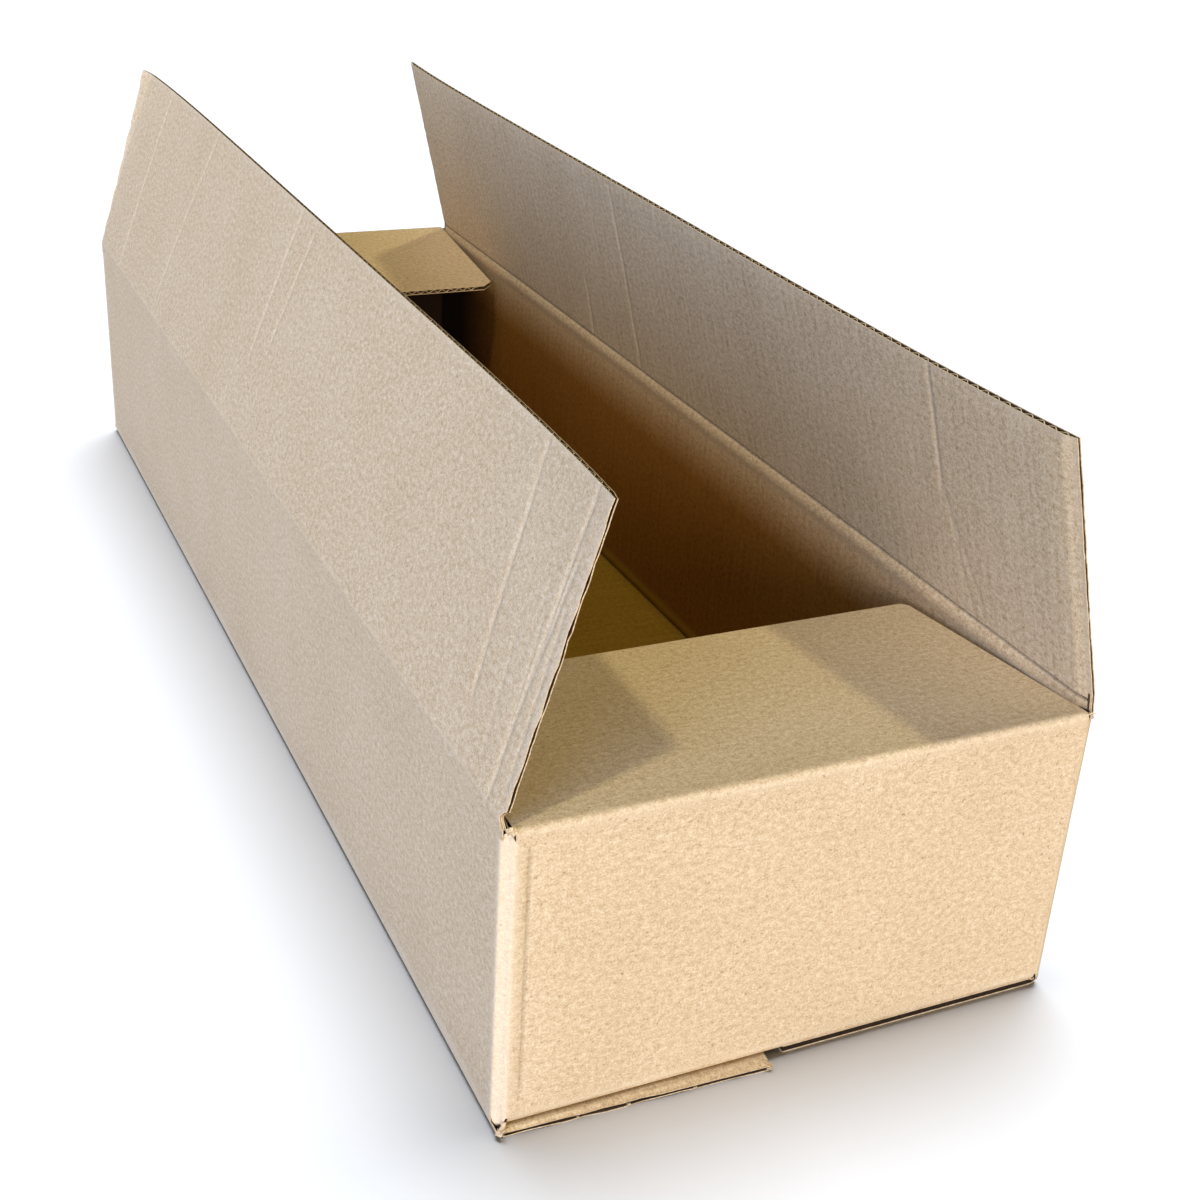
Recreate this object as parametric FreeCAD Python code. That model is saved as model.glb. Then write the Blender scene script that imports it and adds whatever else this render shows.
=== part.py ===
import FreeCAD, Part
import math
import os

# Open shipping carton of single-wall corrugated board, folded from one slotted blank.
# X runs across the carton, Y along it from the near end to the far end, Z up.
# The origin is on the floor, under the middle of the footprint. All sizes are in mm.

# Carton, outside sizes
carton_length = 726.0
carton_width = 240.0
carton_height = 132.5

# Board: two liners and a fluted medium between them
board = 3.0
liner = 0.4
flute_pitch = 6.4
flute_crown = 0.35
flute_land = 0.25
open_edge = 1.8

# Folds: inner radius of a bend, and the air left between layers folded on each other
fold_radius = 1.0
layer_gap = 0.3

# Top flaps: all are cut to one line, so their depths follow from the crease of the long walls
flap_depth = 114.5
long_flap_trim = 2.5
end_flap_side_gap = 5.0
end_flap_dip_deg = 4.35
end_flute_depth = 105.0
left_flap_lean_deg = 18.0
right_flap_lean_deg = 16.0

# Hinge line of a long flap: the air between its mitred edge and the wall's, on each side
hinge_gap = 0.15

# Bottom: the left outer flap stands out past the near wall as a skewed ledge, from its fold to
# its free edge, and the right one stops just inside that wall
left_bottom_depth = 110.5
right_bottom_depth = 120.5
inner_bottom_depth = 114.5
ledge_at_fold = 1.0
ledge_at_edge = 4.5
bottom_flap_trim = 1.0
inner_flap_side_gap = 2.0

# Glued joint of the tube: a tab behind the near wall, at its left corner
tab_width = 32.0
tab_board = 2.0
tab_trim = 12.0

# Sizes that follow
outer_fold = fold_radius + board
half_width = carton_width / 2
near_y = (ledge_at_edge - carton_length) / 2
far_y = near_y + carton_length
flute_height = board - 2 * liner
inner_floor = board + layer_gap
end_crease = carton_height - board - layer_gap
end_wall_bottom = inner_floor + outer_fold
end_wall_top = end_crease - outer_fold
end_flap_depth = flap_depth + carton_height - end_crease
end_flap_half = half_width - board - end_flap_side_gap
inner_flap_half = half_width - board - inner_flap_side_gap

X_AXIS = FreeCAD.Vector(1, 0, 0)
Y_AXIS = FreeCAD.Vector(0, 1, 0)
Z_AXIS = FreeCAD.Vector(0, 0, 1)


def point(x, y, z):
    return FreeCAD.Vector(x, y, z)


def block(x0, x1, y0, y1, z0, z1):
    return Part.makeBox(x1 - x0, y1 - y0, z1 - z0, point(x0, y0, z0))


def outline_face(corners):
    return Part.Face(Part.makePolygon(corners + corners[:1]))


def flute_outlines(start, end):
    """Hollows of the fluted medium between two places along an edge of the board.

    Each hollow is a triangle of (place, depth) pairs, with depth counted from the outer face.
    """
    half_pitch = flute_pitch / 2
    half_base = half_pitch - flute_crown
    count = int((end - start) // half_pitch) - 1
    first = (start + end - (count - 1) * half_pitch) / 2
    outlines = []
    for index in range(count):
        middle = first + index * half_pitch
        base, tip = liner, liner + flute_height - flute_land
        if index % 2:
            base, tip = liner + flute_height, liner + flute_land
        outlines.append([(middle - half_base, base), (middle + half_base, base), (middle, tip)])
    return outlines


class FoldedFlap:
    """A flap folded inward from a wall, with the rounded crease that joins them.

    inward points from the wall into the carton, outside is the outer side of the flap while it
    lies level, and dip is how far the flap sinks past level, in degrees.
    """

    def __init__(self, wall_edge, inward, outside, dip, depth):
        turn = math.radians(dip)
        self.normal = inward * math.sin(turn) + outside * math.cos(turn)
        self.run = inward * math.cos(turn) - outside * math.sin(turn)
        half_turn = (turn - math.pi / 2) / 2
        middle = inward * math.sin(half_turn) + outside * math.cos(half_turn)
        centre = wall_edge + inward * outer_fold
        self.tip = centre + self.normal * outer_fold + self.run * (depth - outer_fold)
        outer = [centre - inward * outer_fold, centre + middle * outer_fold,
                 centre + self.normal * outer_fold]
        inner = [centre + self.normal * fold_radius, centre + middle * fold_radius,
                 centre - inward * fold_radius]
        inner_tip = self.tip - self.normal * board
        edges = [Part.Arc(*outer).toShape(),
                 Part.LineSegment(outer[2], self.tip).toShape(),
                 Part.LineSegment(self.tip, inner_tip).toShape(),
                 Part.LineSegment(inner_tip, inner[0]).toShape(),
                 Part.Arc(*inner).toShape(),
                 Part.LineSegment(inner[2], outer[0]).toShape()]
        self.section = Part.Face(Part.Wire(edges))

    def solid(self, across, start, end):
        flap = self.section.extrude(across * (end - start))
        flap.translate(across * start)
        return flap

    def flutes(self, across, start, end, reach):
        """Hollows that run back from the flap's free edge."""
        hollows = []
        for outline in flute_outlines(start, end):
            corners = [self.tip + across * place - self.normal * depth for place, depth in outline]
            hollows.append(outline_face(corners).extrude(-self.run * reach))
        return hollows


def wall_tube():
    """The four walls as a tube with rounded upright folds."""
    height = end_wall_top - end_wall_bottom
    outer = block(-half_width, half_width, near_y, far_y, end_wall_bottom, end_wall_top)
    inner = block(-half_width + board, half_width - board, near_y + board, far_y - board,
                  end_wall_bottom, end_wall_top)

    def round_uprights(solid, radius):
        uprights = [edge for edge in solid.Edges if abs(edge.Length - height) < 0.001
                    and abs(edge.tangentAt(edge.FirstParameter).z) > 0.9]
        return solid.makeFillet(radius, uprights)

    return round_uprights(outer, outer_fold).cut(round_uprights(inner, fold_radius))


def ledge_skew():
    """Wedge that leaves the near edge of the left outer bottom flap askew."""
    front = near_y - ledge_at_edge
    corners = [point(-half_width, front, 0), point(-half_width, near_y - ledge_at_fold, 0),
               point(-half_width + left_bottom_depth, front, 0)]
    return outline_face(corners).extrude(Z_AXIS * outer_fold)


def side_wall_edge(side, start, end):
    """Upper edge of a long wall, mitred where its flap folds over it."""
    face = side * half_width
    inner = side * (half_width - board)
    corners = [point(face, start, end_wall_top), point(face, start, carton_height - hinge_gap),
               point(inner, start, carton_height - hinge_gap - board),
               point(inner, start, end_wall_top)]
    return outline_face(corners).extrude(Y_AXIS * (end - start))


def carton():
    """Walls, folded bottom and the two end flaps: the part of the blank that stays put."""
    pieces = [wall_tube()]
    for wall_y, inward in ((near_y, Y_AXIS), (far_y, -Y_AXIS)):
        inner_flap = FoldedFlap(point(0, wall_y, end_wall_bottom), inward, -Z_AXIS,
                                0, inner_bottom_depth)
        pieces.append(inner_flap.solid(X_AXIS, -inner_flap_half, inner_flap_half))
        end_flap = FoldedFlap(point(0, wall_y, end_wall_top), inward, Z_AXIS,
                              end_flap_dip_deg, end_flap_depth)
        fluted = end_flap.solid(X_AXIS, -end_flap_half, end_flap_half)
        hollows = end_flap.flutes(X_AXIS, -end_flap_half + open_edge, end_flap_half - open_edge,
                                  end_flute_depth)
        pieces.append(fluted.cut(Part.makeCompound(hollows)))
    for side, front, depth in ((-1, near_y - ledge_at_edge, left_bottom_depth),
                               (1, near_y + bottom_flap_trim, right_bottom_depth)):
        outer_flap = FoldedFlap(point(side * half_width, 0, outer_fold), X_AXIS * -side, -Z_AXIS,
                                0, depth)
        flap = outer_flap.solid(Y_AXIS, front, far_y - bottom_flap_trim)
        if side < 0:
            flap = flap.cut(ledge_skew())
        pieces.append(flap)
        lower_edges = sorted((side * half_width, side * (half_width - board)))
        pieces.append(block(*lower_edges, near_y + outer_fold, far_y - outer_fold,
                            outer_fold, end_wall_bottom))
        pieces.append(side_wall_edge(side, near_y + long_flap_trim, far_y - long_flap_trim))
    tab_left = -half_width + fold_radius + board
    pieces.append(block(tab_left, tab_left + tab_width, near_y + board, near_y + board + tab_board,
                        end_wall_bottom + tab_trim, end_wall_top - tab_trim))
    return pieces[0].fuse(pieces[1:]).removeSplitter()


def long_flap(side, lean_deg):
    """A long flap, fluted from its free edge to its mitred edge, leaning inward from upright."""
    start = near_y + long_flap_trim
    end = far_y - long_flap_trim
    bottom = carton_height + hinge_gap

    def place(along, depth):
        return point(side * (half_width - depth), along, bottom)

    # The board's two cut sides run along a flute, so each shows as a groove between the liners
    section = [(start, 0), (end, 0), (end, liner), (end - open_edge, liner),
               (end - open_edge, board - liner), (end, board - liner), (end, board),
               (start, board), (start, board - liner), (start + open_edge, board - liner),
               (start + open_edge, liner), (start, liner)]
    wires = [Part.makePolygon([place(*pair) for pair in section + section[:1]])]
    for outline in flute_outlines(start + open_edge, end - open_edge):
        wires.append(Part.makePolygon([place(*pair) for pair in outline + outline[:1]]))
    face = Part.makeFace(wires, "Part::FaceMakerBullseye")
    flap = face.extrude(Z_AXIS * (flap_depth - hinge_gap))
    corners = [place(start, 0), place(start, board), place(start, board) + Z_AXIS * board]
    mitre = outline_face(corners).extrude(Y_AXIS * (end - start))
    flap = flap.cut(mitre)
    flap.rotate(point(side * half_width, 0, carton_height), Y_AXIS, -side * lean_deg)
    return flap


parts = {
    "carton": carton(),
    "left_long_flap": long_flap(-1, left_flap_lean_deg),
    "right_long_flap": long_flap(1, right_flap_lean_deg),
}
os.makedirs("parts", exist_ok=True)
for name, shape in parts.items():
    solids = shape.Solids
    box = shape.BoundBox
    print(name, len(solids), shape.isValid(), round(shape.Volume), len(shape.Faces),
          [round(value, 2) for value in (box.XMin, box.XMax, box.YMin, box.YMax, box.ZMin, box.ZMax)])
    if len(solids) == 1:
        shape = solids[0]
    shape.exportStep("parts/" + name + ".step")
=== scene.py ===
"""Open shipping carton of single-wall corrugated board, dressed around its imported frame.

Sizes are in millimetres until a piece is finished, and metres after that.
"""

from __future__ import annotations

import logging
import math
from dataclasses import dataclass, field
from enum import Enum
from functools import partial
from typing import Callable, Sequence

import bmesh
import bpy
from mathutils import Matrix, Vector, noise


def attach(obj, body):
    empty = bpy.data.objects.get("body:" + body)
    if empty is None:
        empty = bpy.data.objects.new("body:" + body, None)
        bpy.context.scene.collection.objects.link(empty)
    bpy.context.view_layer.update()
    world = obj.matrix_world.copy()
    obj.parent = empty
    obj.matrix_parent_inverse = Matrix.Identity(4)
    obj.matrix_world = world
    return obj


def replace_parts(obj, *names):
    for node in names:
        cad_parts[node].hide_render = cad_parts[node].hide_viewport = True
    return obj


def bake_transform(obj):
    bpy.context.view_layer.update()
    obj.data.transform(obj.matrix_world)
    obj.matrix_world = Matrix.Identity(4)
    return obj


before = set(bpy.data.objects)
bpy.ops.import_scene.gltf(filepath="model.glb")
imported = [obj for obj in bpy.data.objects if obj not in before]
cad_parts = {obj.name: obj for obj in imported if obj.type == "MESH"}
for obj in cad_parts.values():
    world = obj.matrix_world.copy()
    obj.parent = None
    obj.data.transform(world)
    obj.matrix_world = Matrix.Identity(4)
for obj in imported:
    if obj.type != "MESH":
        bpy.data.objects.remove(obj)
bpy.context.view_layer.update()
MM = 0.001
# Height of the long flaps' hinge lines, the depth that the top flaps are cut to, and how far the
# painted shade at the near end of each crease runs
HINGE = 132.5
FLAP_DEPTH = 114.5
NEAR_SHADE_RUN = 45.0
LOG = logging.getLogger("carton")
Triple = tuple[float, float, float]
Spot = tuple[Vector, Vector]
Place = Callable[[float, float], Spot]
Rule = Callable[[float, float, float], Spot]


class Face(Enum):
    """Which paper a face of the board shows, as an index of its piece's materials."""

    OUTSIDE = 0
    INSIDE = 1
    CUT = 2
    CORE = 3


class Side(Enum):
    """Side of the carton, as seen from its near end."""

    LEFT = -1
    RIGHT = 1


def span(start: float, end: float, step: float) -> list[float]:
    """Splits a length into equal steps.

    Args:
        start: First place.
        end: Last place.
        step: Longest step allowed.

    Returns:
        The places, with both ends.
    """
    count = max(1, math.ceil(abs(end - start) / step - 1e-6))
    return [start + (end - start) * index / count for index in range(count + 1)]


def joined(*runs: Sequence[float]) -> list[float]:
    """Merges lists of places into one sorted list without near repeats.

    Args:
        runs: Lists of places.

    Returns:
        The sorted places, each at least a hundredth of a millimetre from the next.
    """
    places: list[float] = []
    for place in sorted(value for run in runs for value in run):
        if not places or place - places[-1] > 0.01:
            places.append(place)
    return places


def ease(value: float) -> float:
    """Returns a smooth step from 0 to 1 for a value that runs from 0 to 1."""
    value = min(1.0, max(0.0, value))
    return value * value * (3 - 2 * value)


def ripple(x: float, y: float, seed: float = 0.0) -> float:
    """Returns smooth noise from about -1 to 1 at a place, the same on each run."""
    return noise.noise(Vector((x, y, 7.3 + seed))) * 1.6


def hump(place: float, width: float) -> float:
    """Returns a smooth hump, 1 where the place is 0 and about a third at its width."""
    return math.exp(-((place / width) ** 2))


def roll(up: float) -> float:
    """Returns how far a long wall's inner liner swells under its crease, and sinks in it.

    Args:
        up: Height over the hinge line, negative on the wall.

    Returns:
        The swelling into the carton, in millimetres.
    """
    return 0.9 * hump(up + 4.8, 3.2) - 1.3 * hump(up - 0.2, 0.8)


def add_object(name: str, data: bpy.types.ID) -> bpy.types.Object:
    """Adds an object to the scene.

    Args:
        name: Its name.
        data: Its mesh, lamp or camera.

    Returns:
        The object.
    """
    added = bpy.data.objects.new(name, data)
    bpy.context.scene.collection.objects.link(added)
    return added


@dataclass(frozen=True)
class Board:
    """Make-up of the corrugated board."""

    thickness: float = 3.0
    liner: float = 0.4
    medium: float = 0.4
    pitch: float = 6.4
    wave_steps: int = 8

    def wave_depth(self, across: float) -> float:
        """Returns how deep the fluted medium's middle lies at a place across the flutes."""
        swing = (self.thickness - 2 * self.liner - self.medium) / 2 + 0.01
        return self.thickness / 2 - swing * math.cos(2 * math.pi * across / self.pitch)


@dataclass(frozen=True)
class Section:
    """Line that a board's outer face follows, as runs and bends in one plane.

    Each part is (length, turn), the turn in radians and negative where the board bends to its
    inner side, which lies on the right of the way ahead.
    """

    start: tuple[float, float]
    heading: float
    parts: tuple[tuple[float, float], ...]

    def at(self, way: float, depth: float) -> tuple[float, float]:
        """Finds a point of the board.

        Args:
            way: Distance along the outer face from the start.
            depth: Distance from the outer face into the board.

        Returns:
            The point in the plane of the section.
        """
        x, y = self.start
        angle = self.heading
        for index, (length, turn) in enumerate(self.parts):
            last = index == len(self.parts) - 1
            step = way if last else min(way, length)
            if turn:
                radius = length / abs(turn)
                swung = turn * step / length
                side = math.copysign(1, turn)
                x += radius * side * (math.sin(angle + swung) - math.sin(angle))
                y += radius * side * (math.cos(angle) - math.cos(angle + swung))
                angle += swung
            else:
                x += step * math.cos(angle)
                y += step * math.sin(angle)
            way -= step
            if way <= 1e-9:
                break
        return x + depth * math.sin(angle), y - depth * math.cos(angle)

    def marks(self) -> list[float]:
        """Adds up the lengths of the parts.

        Returns:
            The way to each end of a part, from 0 on.
        """
        ways = [0.0]
        for length, _ in self.parts:
            ways.append(ways[-1] + length)
        return ways

    def rows(self, step: float, bend_steps: int = 6) -> list[float]:
        """Splits the line into rows for a mesh.

        Args:
            step: Longest row on the straight runs.
            bend_steps: Rows round each bend.

        Returns:
            The ways of the rows.
        """
        rows: list[float] = [0.0]
        for (length, turn), way in zip(self.parts, self.marks()):
            rows += span(way, way + length, length / bend_steps if turn else step)[1:]
        return rows


class Sheets:
    """Mesh of a piece of board: skins and flutes laid as grids, each closed by its thickness."""

    def __init__(self, board: Board) -> None:
        """Starts an empty mesh.

        Args:
            board: Make-up of the board.
        """
        self.board = board
        self.mesh = bmesh.new()
        self.lay = self.mesh.verts.layers.float_vector.new("lay")
        self.done = self.mesh.faces.layers.int.new("done")

    def grid(self, across: Sequence[float], along: Sequence[float], place: Place) -> None:
        """Lays a grid of faces and moves its points to their places.

        Args:
            across: Places across the flutes.
            along: Places along the flutes.
            place: Gives the point and its (across, along, wear) in millimetres.
        """
        columns, rows = len(across) - 1, len(along) - 1
        made = bmesh.ops.create_grid(self.mesh, x_segments=columns, y_segments=rows, size=1.0)
        for vert in made["verts"]:
            column = across[round((vert.co.x + 1) / 2 * columns)]
            row = along[round((vert.co.y + 1) / 2 * rows)]
            vert.co, vert[self.lay] = place(column, row)

    def close(self, thickness: float, seen: Face, outward: Callable[[Vector], Vector],
              hidden: Face = Face.CORE) -> None:
        """Welds the open grids, turns them to their visible side and gives them thickness.

        Args:
            thickness: Thickness, laid behind the visible side.
            seen: Paper of the visible side.
            outward: Gives a direction to the visible side at a point.
            hidden: Paper of the other side.
        """
        open_faces = [face for face in self.mesh.faces if not face[self.done]]
        verts = list(dict.fromkeys(vert for face in open_faces for vert in face.verts))
        bmesh.ops.remove_doubles(self.mesh, verts=verts, dist=0.02)
        open_faces = [face for face in self.mesh.faces if not face[self.done]]
        bmesh.ops.recalc_face_normals(self.mesh, faces=open_faces)
        votes = sum(face.calc_area() * face.normal.dot(outward(face.calc_center_median()))
                    for face in open_faces)
        if votes < 0:
            bmesh.ops.reverse_faces(self.mesh, faces=open_faces)
        front = {vert for face in open_faces for vert in face.verts}
        bmesh.ops.solidify(self.mesh, geom=open_faces, thickness=thickness)
        closed = [face for face in self.mesh.faces if not face[self.done]]
        for face in closed:
            kept = sum(vert in front for vert in face.verts)
            rim = 0 < kept < len(face.verts)
            face[self.done] = 1
            face.smooth = not rim
            for edge in face.edges if rim else ():
                edge.smooth = False
            face.material_index = (Face.CUT if rim else seen if kept else hidden).value
        bmesh.ops.recalc_face_normals(self.mesh, faces=closed)

    def flutes(self, across: tuple[float, float], along: Sequence[float], rule: Rule) -> None:
        """Lays the fluted medium between the liners.

        Args:
            across: First and last place across the flutes.
            along: Places along the flutes.
            rule: Gives the point and its lay for a depth in the board and two places.
        """
        board = self.board
        self.grid(span(*across, board.pitch / board.wave_steps), along,
                  lambda u, v: rule(board.wave_depth(u) - board.medium / 2, u, v))
        middle = (across[0] + across[1]) / 2, (along[0] + along[-1]) / 2
        outward = rule(0.0, *middle)[0] - rule(board.thickness, *middle)[0]
        self.close(board.medium, Face.CORE, lambda point: outward)

    def skins(self, lay_skin: Callable[[float], None], outward: Callable[[Vector], Vector]) -> None:
        """Lays the outer and the inner liner.

        Args:
            lay_skin: Lays the open grids of the liner at a depth in the board.
            outward: Gives the direction out of the board's outer side at a point.
        """
        lay_skin(0.0)
        self.close(self.board.liner, Face.OUTSIDE, outward)
        lay_skin(self.board.thickness)
        self.close(self.board.liner, Face.INSIDE, lambda point: -outward(point))

    def finish(self, name: str, papers: Sequence[bpy.types.Material]) -> bpy.types.Object:
        """Turns the mesh into an object in metres.

        Args:
            name: Name of the piece.
            papers: Materials in the order of Face.

        Returns:
            The object.
        """
        bmesh.ops.scale(self.mesh, vec=(MM, MM, MM), verts=self.mesh.verts)
        for vert in self.mesh.verts:
            across, along, wear = vert[self.lay]
            vert[self.lay] = Vector((across * MM, along * MM, wear))
        data = bpy.data.meshes.new(name)
        self.mesh.to_mesh(data)
        self.mesh.free()
        for paper in papers:
            data.materials.append(paper)
        LOG.info("%s: %d faces", name, len(data.polygons))
        return add_object(name, data)


@dataclass(frozen=True)
class Scrap:
    """A small torn bit of liner that curls out of the board where it was slotted or rubbed."""

    root: Triple
    ahead: Triple
    wide: Triple
    width: float = 2.4
    length: float = 3.0
    curl_deg: float = 50.0

    def lay(self, sheets: Sheets) -> None:
        """Lays the bit into a mesh.

        Args:
            sheets: Mesh that takes it.
        """
        ahead = Vector(self.ahead).normalized()
        wide = Vector(self.wide).normalized()
        rise = wide.cross(ahead).normalized()
        bend = math.radians(self.curl_deg) / self.length

        def place(across: float, along: float) -> Spot:
            """Places a point of the bit.

            Args:
                across: Place across it, from its middle.
                along: Distance from its root.

            Returns:
                The point and its lay.
            """
            point = Vector(self.root) + wide * across * (1 - 0.45 * along / self.length)
            point += ahead * (math.sin(bend * along) / bend + 0.3 * ripple(across, along))
            point += rise * ((1 - math.cos(bend * along)) / bend + 0.2 * ripple(along, across, 2))
            return point, Vector((self.root[0] + across, along, 0.8))

        sheets.grid(span(-self.width / 2, self.width / 2, 0.6), span(0, self.length, 0.6), place)
        sheets.close(0.3, Face.CUT, lambda point: rise, hidden=Face.CUT)


@dataclass
class CartonBody:
    """Walls, folded bottom and the two end flaps, all folded from one slotted blank.

    The end walls are the near and the far one, the side walls the long ones. fold is the outer
    radius of a bend, a trim or an inset is room left beside a cut edge, and a half is the reach
    to each side of the middle. An upright fold is pressed inward, and it peaks above the walls
    and hangs below them, the near left one as its worst fields say. The tab's edge shows at
    tab_line from that fold as a mark in the near wall.
    """

    board: Board = field(default_factory=Board)
    length: float = 726.0
    width: float = 240.0
    fold: float = 4.0
    near_y: float = -360.75
    end_bottom: float = 7.3
    end_top: float = 125.2
    side_top: float = 128.5
    end_dip_deg: float = 4.35
    end_flap_depth: float = 117.8
    end_flap_half: float = 112.0
    end_fold_half: float = 116.0
    hinge: float = HINGE
    inner_flap_half: float = 115.0
    inner_depth: float = 114.5
    left_depth: float = 110.5
    right_depth: float = 120.5
    ledge_at_fold: float = 1.0
    ledge_at_edge: float = 4.5
    bottom_trim: float = 1.0
    right_inset: float = 2.6
    slot_trim: float = 2.5
    tab_width: float = 32.0
    tab_board: float = 2.0
    tab_trim: float = 12.0
    tab_line: float = 5.2
    tab_mark: float = 0.3
    press: float = 0.25
    worst_press: float = 1.0
    peak: float = 3.2
    worst_peak: float = 2.6
    peak_reach: float = 13.2
    hang: float = 4.6
    tip_cut: float = 3.0
    far_tip_cut: float = 7.0
    ledge_rim: float = 4.2
    ledge_pinch: float = 0.36
    groove: float = 1.3
    scraps: tuple[Scrap, ...] = (
        Scrap((-118.6, -359.2, 128.6), (0.7, -0.3, 0.7), (0, 1, 0.3), 2.6, 3.4, 60),
        Scrap((-115.6, -360.2, 129.4), (-0.9, -0.1, -0.4), (0, 0.8, 0.6), 2.2, 2.6, -50),
        Scrap((-117.6, -360.2, 128.4), (0.1, 0.4, 1), (1, -0.3, 0), 2.0, 2.6, 40),
        Scrap((118.4, -359.0, 127.6), (-0.5, -0.3, 0.8), (0.2, 1, 0), 2.4, 3.2, -60),
        Scrap((116.2, -360.0, 128.8), (0.7, -0.2, 0.5), (0, 0.8, -0.6), 1.8, 2.4, 55),
        Scrap((118.4, -360.2, 126.8), (-0.1, 0.3, 1), (1, 0.3, 0), 2.0, 2.8, -35),
        Scrap((-119.2, -361.2, 2.6), (-0.1, -0.9, 0.5), (0.5, 0, 1), 2.8, 3.2, 60),
        Scrap((-118.0, -361.4, 4.4), (0.3, -0.8, -0.5), (1, 0.2, 0.4), 2.2, 2.8, -70),
        Scrap((-116.4, -361.0, 5.8), (-0.5, -0.8, -0.4), (1, -0.6, 0), 1.8, 2.8, 45),
        Scrap((-11.0, -364.6, 2.7), (0.8, -0.6, -0.2), (0.6, 0.8, 0), 2.6, 2.6, 55),
        Scrap((-10.4, -364.4, 0.7), (0.7, -0.7, 0.4), (0.7, 0.7, 0), 2.4, 2.2, -40),
        Scrap((-68.0, -362.8, 0.5), (0.1, -1, 0.2), (1, 0, 0), 1.6, 1.2, 30),
        Scrap((-88.0, -362.2, 0.5), (-0.1, -1, 0.1), (1, 0, 0), 1.2, 1.0, -30),
        Scrap((-41.0, -363.8, 0.5), (0.1, -1, 0.3), (1, 0, 0), 1.4, 1.0, 20),
    )

    def __post_init__(self) -> None:
        """Works out the sections that follow from the sizes."""
        fold, quarter = self.fold, math.pi / 2
        bend = fold * quarter
        self.far_y = self.near_y + self.length
        self.half = self.width / 2
        self.plan = Section((self.half - fold, self.near_y), math.pi, (
            (self.width - 2 * fold, 0), (bend, -quarter),
            (self.length - 2 * fold, 0), (bend, -quarter)) * 2)
        dip = quarter + math.radians(self.end_dip_deg)
        self.end = Section((self.inner_depth, self.end_bottom - fold), math.pi, (
            (self.inner_depth - fold, 0), (bend, -quarter),
            (self.end_top - self.end_bottom, 0), (fold * dip, -dip),
            (self.end_flap_depth - fold, 0)))
        self.sides = {side: Section((depth, 0), math.pi, (
            (depth - fold, 0), (bend, -quarter), (self.side_top - fold, 0)))
            for side, depth in ((Side.LEFT, self.left_depth), (Side.RIGHT, self.right_depth))}

    def end_columns(self) -> list[float]:
        """Lists the places across an end wall that its flaps share.

        Returns:
            The places in order.
        """
        edges = [self.half - self.fold, self.inner_flap_half, self.end_flap_half]
        groove = [-111.7, -111.2, -110.7, -110.2, -109.5]
        return joined([-edge for edge in edges], edges, groove, span(-edges[-1], edges[-1], 16))

    def side_columns(self) -> list[float]:
        """Returns the places along a side wall that its flap shares."""
        start, end = self.near_y + self.fold, self.far_y - self.fold
        return joined([start, start + 1.5, start + 3], span(start + 6, end - 6, 18),
                      [end - 3, end - 1.5, end])

    def wall_rows(self) -> list[float]:
        """Returns the heights of the wall's rows."""
        peak = self.end_top - self.peak_reach
        return joined([self.end_bottom + 3], span(self.end_bottom, peak, 15),
                      span(peak, self.end_top, 1.65))

    def wear(self, height: float) -> float:
        """Returns how pale the walls are rubbed at a height, most at their creases."""
        return max(0.6 - (self.end_top + 1 - height) / 4, 0.8 - (height - self.end_bottom) / 4, 0)

    def place_wall(self, depth: float, way: float, height: float) -> Spot:
        """Places a point of the four walls.

        Args:
            depth: Depth in the board from its outer face.
            way: Distance round the walls.
            height: Height over the floor.

        Returns:
            The point and its lay.
        """
        marks = self.plan.marks()
        bend = marks[2] - marks[1]
        inner = depth > self.board.thickness / 2
        corner = min(abs(way - (mark + bend / 2)) for mark in marks[1::2])
        reach = max(min(way - marks[turn], marks[turn + 1] - way) for turn in (2, 6))
        if inner:
            sunk = roll(height - self.hinge) * ease(reach / 6)
        else:
            level = min(height - self.end_bottom, self.end_top - height)
            sunk = self.tab_mark * hump(way - marks[1] + self.tab_line, 0.8) * ease(level / 6)
        x, y = self.plan.at(way, depth + sunk)
        rounding = max(0.0, 1 - (corner / (bend / 2)) ** 2)
        worst = abs(way - marks[1] - bend / 2) < bend
        press = (self.worst_press if worst else self.press) * rounding ** 2
        x, y = x - math.copysign(press, x), y - math.copysign(press, y)
        peak = self.worst_peak if worst else self.peak
        upper = max(0.0, 1 - (self.end_top - height) / self.peak_reach)
        lower = max(0.0, 1 - (height - self.end_bottom) / 3)
        tall = height + rounding * (peak * upper - self.hang * lower)
        rub = 0.9 * (1 - max(0.0, corner - 3) / 5)
        rub = max(0.0, rub if inner else max(self.wear(height), rub))
        rub = -0.55 if sunk > self.tab_mark / 2 and not inner else rub
        return Vector((x, y, tall)), Vector((way, height, rub))

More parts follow.
